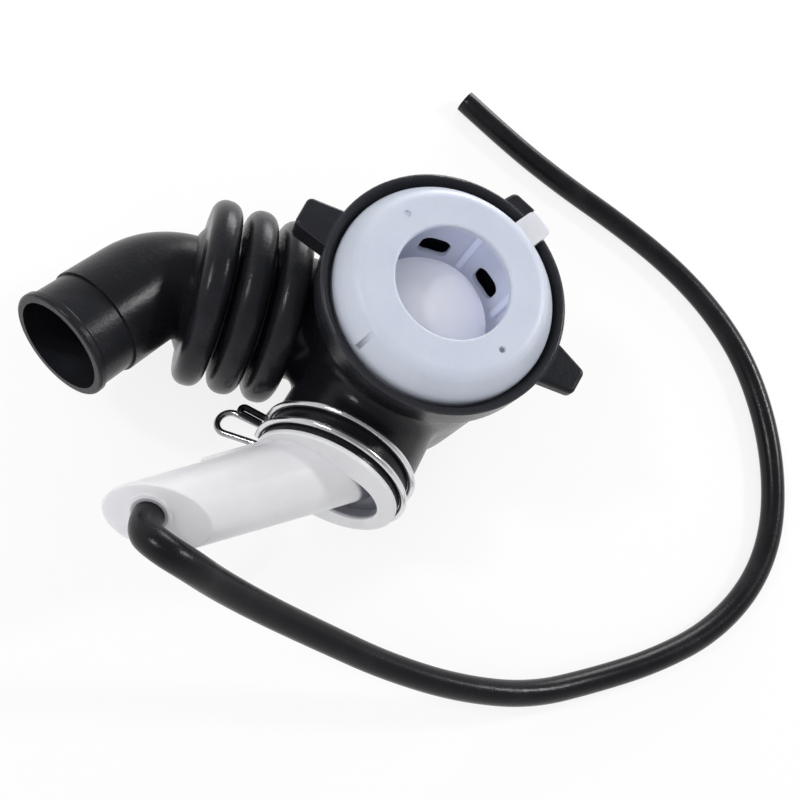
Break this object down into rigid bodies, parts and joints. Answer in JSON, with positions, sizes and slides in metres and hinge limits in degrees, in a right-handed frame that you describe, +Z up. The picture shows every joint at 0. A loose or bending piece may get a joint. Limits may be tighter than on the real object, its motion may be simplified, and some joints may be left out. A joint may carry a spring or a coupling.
{
  "type": "washing machine pump hose",
  "caption": "Moulded rubber sump hose with a ball-valve collar, a bellows elbow to the pump, and a clamped air chamber with a thin pressure hose.",
  "frame": {"origin": "on the collar's axis, at the flat bottom of the cup that the part stands on", "axes": "+Z up along the collar's axis, out of its mouth; -X towards the bellows; the air chamber's branch and the pump end both leave to the -Y side"},
  "size_m": [0.2938, 0.2413, 0.0863],
  "materials": {
    "moulded_rubber": "satin black moulded rubber",
    "cage_plastic": "milky lavender-white polypropylene",
    "ball_plastic": "smooth bluish white",
    "chamber_plastic": "milky translucent polypropylene",
    "spring_wire": "bright drawn spring steel",
    "hose_rubber": "smooth extruded black rubber"
  },
  "bodies": {
    "hose": {"hose_body": "moulded_rubber", "ball_cage": "cage_plastic", "air_chamber": "chamber_plastic", "hose_clamp": "spring_wire", "pressure_hose": "hose_rubber"},
    "ball": {"float_ball": "ball_plastic"}
  },
  "joints": [
    {"name": "ball_float", "type": "slide", "parent": "hose", "child": "ball", "axis": [0, 0, 1], "range_m": [0, 0.0219]}
  ]
}
